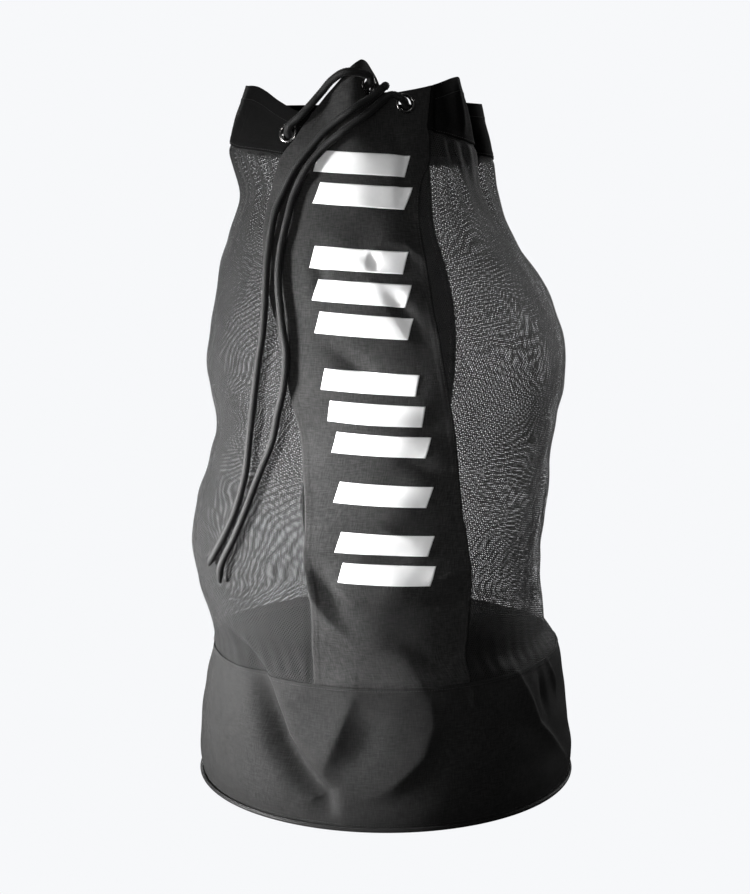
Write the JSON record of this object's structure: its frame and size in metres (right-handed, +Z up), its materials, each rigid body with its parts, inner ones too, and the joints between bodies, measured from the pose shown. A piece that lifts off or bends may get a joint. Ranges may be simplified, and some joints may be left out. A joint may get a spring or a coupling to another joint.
{
  "type": "mesh ball bag",
  "caption": "Tall round drawstring ball bag with a solid base, mesh sides, a wide front panel, an eyeleted collar and one laced cord.",
  "frame": {"origin": "centre of the bag's footprint, on the surface that it stands on", "axes": "+Z up through the mouth, -Y out of the front panel, +X to the right as seen from the front"},
  "size_m": [0.5484, 0.5438, 1.004],
  "materials": {
    "coated_fabric": "matte plain-weave polyester",
    "front_fabric": "matte plain-weave polyester with a flat white print of plain bars",
    "mesh": "open knitted net",
    "piping": "bound cord edge",
    "cord": "braided polyester",
    "nickel": "bright nickel plate"
  },
  "bodies": {
    "base": {"base_panel": "coated_fabric", "base_piping": "piping", "base_wall": "coated_fabric", "front_panel": "front_fabric", "back_panel": "coated_fabric", "mesh_left": "mesh", "mesh_right": "mesh"},
    "mouth": {"collar_left": "coated_fabric", "collar_right": "coated_fabric", "eyelet_front": "nickel", "eyelet_front_left": "nickel", "eyelet_left": "nickel", "eyelet_back_left": "nickel", "eyelet_back_mid_left": "nickel", "eyelet_back_mid_right": "nickel", "eyelet_back_right": "nickel", "eyelet_right": "nickel", "eyelet_front_right": "nickel", "washer_front": "nickel", "washer_front_left": "nickel", "washer_left": "nickel", "washer_back_left": "nickel", "washer_back_mid_left": "nickel", "washer_back_mid_right": "nickel", "washer_back_right": "nickel", "washer_right": "nickel", "washer_front_right": "nickel", "drawcord_rim": "cord", "drawcord_tail_left": "cord", "drawcord_tail_right": "cord"}
  },
  "joints": [
    {"name": "collapse", "type": "slide", "parent": "base", "child": "mouth", "axis": [0, 0, -1], "range_m": [0, 0.28], "deforming": ["front_panel", "back_panel", "mesh_left", "mesh_right"]}
  ]
}
